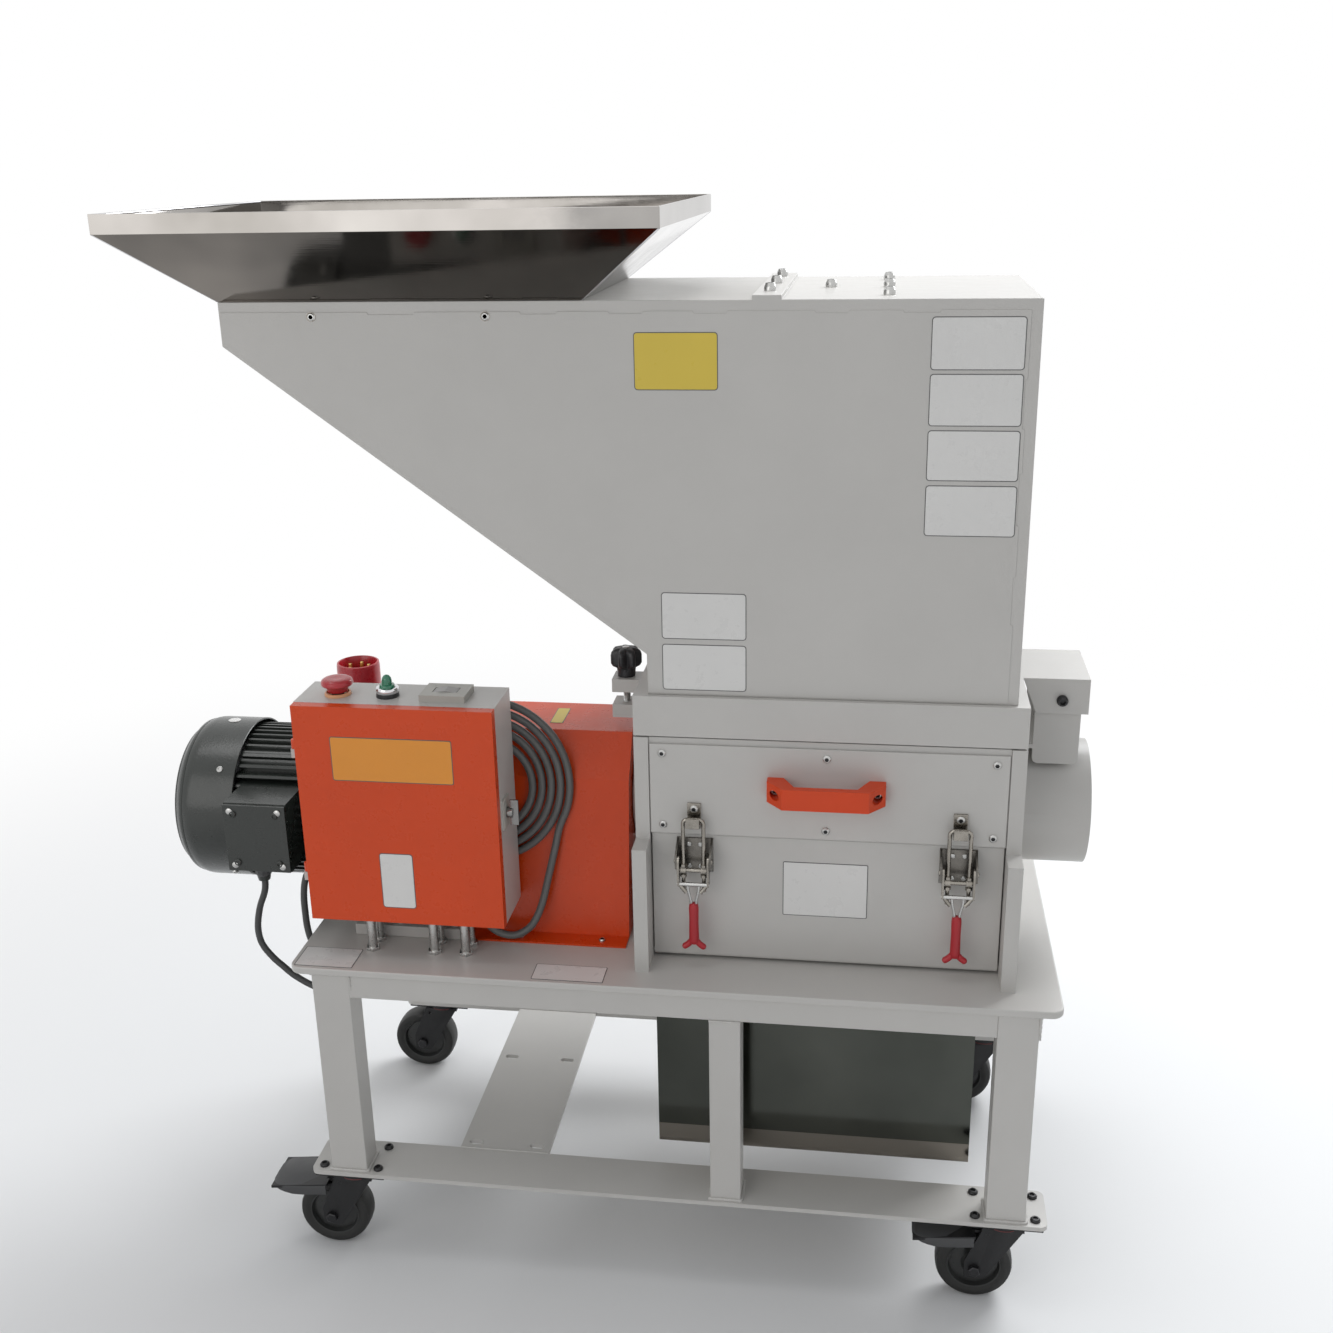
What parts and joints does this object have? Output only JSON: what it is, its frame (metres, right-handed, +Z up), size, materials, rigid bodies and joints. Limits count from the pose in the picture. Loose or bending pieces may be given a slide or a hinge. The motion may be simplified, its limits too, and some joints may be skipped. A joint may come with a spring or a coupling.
{
  "type": "plastic granulator",
  "caption": "Mobile plastic granulator: geared motor, bladed rotor over a screen, tilting hopper with polished feed tray, latched front door, control box and chip bin.",
  "frame": {"origin": "on the floor under the middle of the footprint, cords left out", "axes": "+X along the table from the motor to the cutting chamber, +Y from the operator's side to the back, +Z up"},
  "size_m": [1.224, 0.508, 1.384],
  "materials": {
    "white_paint": "powder coat, semi-gloss",
    "orange_paint": "powder coat, semi-gloss",
    "black_paint": "textured black enamel",
    "dark_cast": "machined and oiled",
    "grey_paint": "enamel",
    "bright_steel": "zinc plated",
    "knife_steel": "ground",
    "mirror_steel": "mirror-polished stainless",
    "bin_steel": "mirror-polished stainless",
    "chrome": "plated",
    "red_plastic": "gloss",
    "green_plastic": "gloss",
    "grey_plastic": "matt",
    "black_plastic": "matt",
    "rubber": "matt",
    "cable_grey": "matt",
    "cable_black": "matt",
    "caster_black": "black zinc",
    "wheel_black": "moulded"
  },
  "bodies": {
    "frame": {"table_plate": "white_paint", "table_beams": "white_paint", "frame_posts": "white_paint", "bottom_rails": "white_paint", "cross_plate": "white_paint", "side_plates": "white_paint", "chamber_walls": "white_paint", "front_cover": "white_paint", "panel_screws": "bright_steel", "cover_handle": "orange_paint", "latch_catches": "bright_steel", "fixed_knives": "knife_steel", "screen": "knife_steel", "bearing_housings": "white_paint", "drum_guard": "white_paint", "drive_guard": "orange_paint", "control_box": "white_paint", "box_fittings": "grey_plastic", "pilot_lamp": "green_plastic", "motor_body": "black_paint", "fan_cowl": "black_paint", "terminal_box": "black_paint", "motor_base": "white_paint", "gear_case": "grey_paint", "hinge_bracket": "white_paint", "caster_plates": "bright_steel", "motor_cable": "cable_black", "power_cable": "cable_grey", "power_plug": "red_plastic"},
    "hopper": {"hopper_shell": "white_paint", "hopper_base": "white_paint", "feed_tray": "mirror_steel", "hopper_rubber": "rubber", "hopper_bolts": "bright_steel"},
    "star_knob": {"star_knob": "black_plastic"},
    "door": {"front_door": "white_paint", "latch_bases": "bright_steel"},
    "left_handle": {"left_latch_handle": "red_plastic"},
    "right_handle": {"right_latch_handle": "red_plastic"},
    "left_loop": {"left_latch_loop": "chrome"},
    "right_loop": {"right_latch_loop": "chrome"},
    "rotor": {"rotor": "dark_cast", "rotor_knives": "knife_steel", "output_coupling": "dark_cast"},
    "motor_rotor": {"motor_rotor": "dark_cast"},
    "box_door": {"box_door": "orange_paint"},
    "box_latch": {"box_latch": "chrome"},
    "estop_button": {"estop_button": "red_plastic"},
    "start_switch": {"start_switch": "grey_plastic"},
    "bin": {"collecting_bin": "bin_steel"},
    "fork_front_left": {"fork_front_left": "caster_black"},
    "wheel_front_left": {"wheel_front_left": "wheel_black"},
    "fork_front_right": {"fork_front_right": "caster_black"},
    "wheel_front_right": {"wheel_front_right": "wheel_black"},
    "fork_rear_left": {"fork_rear_left": "caster_black"},
    "wheel_rear_left": {"wheel_rear_left": "wheel_black"},
    "fork_rear_right": {"fork_rear_right": "caster_black"},
    "wheel_rear_right": {"wheel_rear_right": "wheel_black"},
    "pedal_left": {"pedal_left": "black_plastic"},
    "pedal_right": {"pedal_right": "black_plastic"}
  },
  "joints": [
    {"name": "hopper_tilt", "type": "hinge", "parent": "frame", "child": "hopper", "pos_m": [0.569, -0.006, 0.784], "axis": [0, 1, 0], "range_deg": [0, 75]},
    {"name": "knob_turn", "type": "hinge", "parent": "hopper", "child": "star_knob", "pos_m": [0.014, -0.031, 0.79], "axis": [0, 0, 1], "range_deg": [0, 720]},
    {"name": "door_hinge", "type": "hinge", "parent": "frame", "child": "door", "pos_m": [0.2825, -0.16, 0.459], "axis": [1, 0, 0], "range_deg": [0, 45]},
    {"name": "left_handle_pivot", "type": "hinge", "parent": "door", "child": "left_handle", "pos_m": [0.1195, -0.188, 0.6], "axis": [-1, 0, 0], "range_deg": [0, 105]},
    {"name": "right_handle_pivot", "type": "hinge", "parent": "door", "child": "right_handle", "pos_m": [0.4455, -0.188, 0.6], "axis": [-1, 0, 0], "range_deg": [0, 105]},
    {"name": "left_loop_pivot", "type": "hinge", "parent": "left_handle", "child": "left_loop", "pos_m": [0.1195, -0.185, 0.586], "axis": [1, 0, 0], "range_deg": [0, 90]},
    {"name": "right_loop_pivot", "type": "hinge", "parent": "right_handle", "child": "right_loop", "pos_m": [0.4455, -0.185, 0.586], "axis": [1, 0, 0], "range_deg": [0, 90]},
    {"name": "rotor_spin", "type": "hinge", "parent": "frame", "child": "rotor", "pos_m": [0.2825, -0.006, 0.625], "axis": [1, 0, 0], "continuous": true},
    {"name": "motor_spin", "type": "hinge", "parent": "frame", "child": "motor_rotor", "pos_m": [-0.404, -0.006, 0.58], "axis": [1, 0, 0], "continuous": true},
    {"name": "box_door_hinge", "type": "hinge", "parent": "frame", "child": "box_door", "pos_m": [-0.382, -0.2, 0.65], "axis": [0, 0, -1], "range_deg": [0, 105]},
    {"name": "box_latch_turn", "type": "hinge", "parent": "frame", "child": "box_latch", "pos_m": [-0.118, -0.18, 0.653], "axis": [1, 0, 0], "range_deg": [0, 90]},
    {"name": "estop_press", "type": "slide", "parent": "frame", "child": "estop_button", "axis": [0, 0, -1], "range_m": [0, 0.004], "stiffness_N_per_m": 400, "springref_m": -0.004},
    {"name": "switch_rock", "type": "hinge", "parent": "frame", "child": "start_switch", "pos_m": [-0.191, -0.164, 0.805], "axis": [0, 1, 0], "range_deg": [-5, 5]},
    {"name": "bin_slide", "type": "slide", "parent": "frame", "child": "bin", "axis": [0, 1, 0], "range_m": [0, 0.26]},
    {"name": "swivel_front_left", "type": "hinge", "parent": "frame", "child": "fork_front_left", "pos_m": [-0.351, -0.21, 0.12], "axis": [0, 0, 1], "continuous": true},
    {"name": "swivel_front_right", "type": "hinge", "parent": "frame", "child": "fork_front_right", "pos_m": [0.523, -0.21, 0.12], "axis": [0, 0, 1], "continuous": true},
    {"name": "swivel_rear_left", "type": "hinge", "parent": "frame", "child": "fork_rear_left", "pos_m": [-0.351, 0.218, 0.12], "axis": [0, 0, 1], "continuous": true},
    {"name": "swivel_rear_right", "type": "hinge", "parent": "frame", "child": "fork_rear_right", "pos_m": [0.523, 0.218, 0.12], "axis": [0, 0, 1], "continuous": true},
    {"name": "roll_front_left", "type": "hinge", "parent": "fork_front_left", "child": "wheel_front_left", "pos_m": [-0.386, -0.21, 0.05], "axis": [0, 1, 0], "continuous": true},
    {"name": "roll_front_right", "type": "hinge", "parent": "fork_front_right", "child": "wheel_front_right", "pos_m": [0.488, -0.21, 0.05], "axis": [0, 1, 0], "continuous": true},
    {"name": "roll_rear_left", "type": "hinge", "parent": "fork_rear_left", "child": "wheel_rear_left", "pos_m": [-0.386, 0.218, 0.05], "axis": [0, 1, 0], "continuous": true},
    {"name": "roll_rear_right", "type": "hinge", "parent": "fork_rear_right", "child": "wheel_rear_right", "pos_m": [0.488, 0.218, 0.05], "axis": [0, 1, 0], "continuous": true},
    {"name": "pedal_left_press", "type": "hinge", "parent": "fork_front_left", "child": "pedal_left", "pos_m": [-0.371, -0.21, 0.1066], "axis": [0, -1, 0], "range_deg": [0, 9]},
    {"name": "pedal_right_press", "type": "hinge", "parent": "fork_front_right", "child": "pedal_right", "pos_m": [0.503, -0.21, 0.1066], "axis": [0, -1, 0], "range_deg": [0, 9]}
  ],
  "couplings": [
    {"joint": "left_loop_pivot", "follows": "left_handle_pivot", "ratio": 0.83},
    {"joint": "right_loop_pivot", "follows": "right_handle_pivot", "ratio": 0.83},
    {"joint": "motor_spin", "follows": "rotor_spin", "ratio": -2.6}
  ]
}
